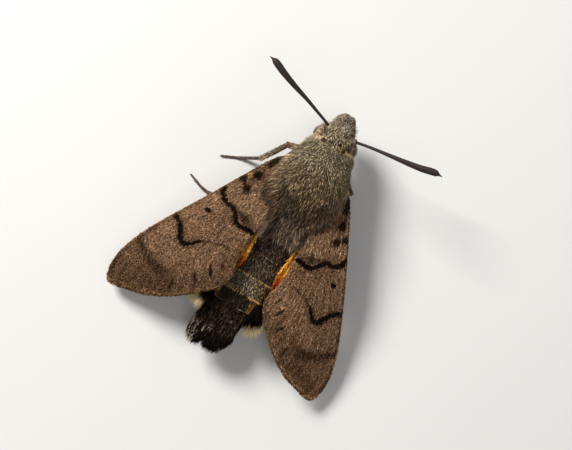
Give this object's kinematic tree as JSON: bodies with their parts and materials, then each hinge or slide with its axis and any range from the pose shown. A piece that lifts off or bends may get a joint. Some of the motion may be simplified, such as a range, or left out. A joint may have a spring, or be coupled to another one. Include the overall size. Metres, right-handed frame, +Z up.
{
  "type": "hummingbird hawk moth model",
  "caption": "Still life-size hawk moth at rest on its feet, wings folded back like a low roof, feelers spread, tail tuft fanned.",
  "frame": {"origin": "on the floor, under the middle of the moth's bounding box", "axes": "+Y from head to tail along the body, +X to the moth's left, +Z up from the floor"},
  "size_m": [0.0254, 0.0284, 0.0088],
  "materials": {
    "grey_fur": "short olive-grey fur, matt",
    "dark_fur": "charcoal-grey scales with pale flecks, matt",
    "tail_fur": "long black-brown hair scales, soft sheen",
    "palp_fur": "dense scales, grey above and whitish below",
    "forewing_scales": "grey-brown powdery scales with black cross-lines, matt",
    "hindwing_scales": "orange powdery scales with a brown rim, matt",
    "leg_scales": "grey-brown scales, matt",
    "feeler": "blackish-brown horn, finely ringed, satin",
    "eye": "black-brown, finely faceted, glossy"
  },
  "bodies": {
    "root": {"head": "grey_fur", "thorax": "grey_fur", "abdomen": "dark_fur", "tail_tuft": "tail_fur", "palp_left": "palp_fur", "palp_right": "palp_fur", "proboscis": "feeler", "eye_left": "eye", "eye_right": "eye", "antenna_left": "feeler", "antenna_right": "feeler", "forewing_left": "forewing_scales", "forewing_right": "forewing_scales", "hindwing_left": "hindwing_scales", "hindwing_right": "hindwing_scales", "leg_front_left_femur": "leg_scales", "leg_front_left_tibia": "leg_scales", "leg_front_left_tarsus": "leg_scales", "leg_front_right_femur": "leg_scales", "leg_front_right_tibia": "leg_scales", "leg_front_right_tarsus": "leg_scales", "leg_middle_left_femur": "leg_scales", "leg_middle_left_tibia": "leg_scales", "leg_middle_left_tarsus": "leg_scales", "leg_middle_right_femur": "leg_scales", "leg_middle_right_tibia": "leg_scales", "leg_middle_right_tarsus": "leg_scales", "leg_hind_left_femur": "leg_scales", "leg_hind_left_tibia": "leg_scales", "leg_hind_left_tarsus": "leg_scales", "leg_hind_right_femur": "leg_scales", "leg_hind_right_tibia": "leg_scales", "leg_hind_right_tarsus": "leg_scales"}
  },
  "joints": []
}
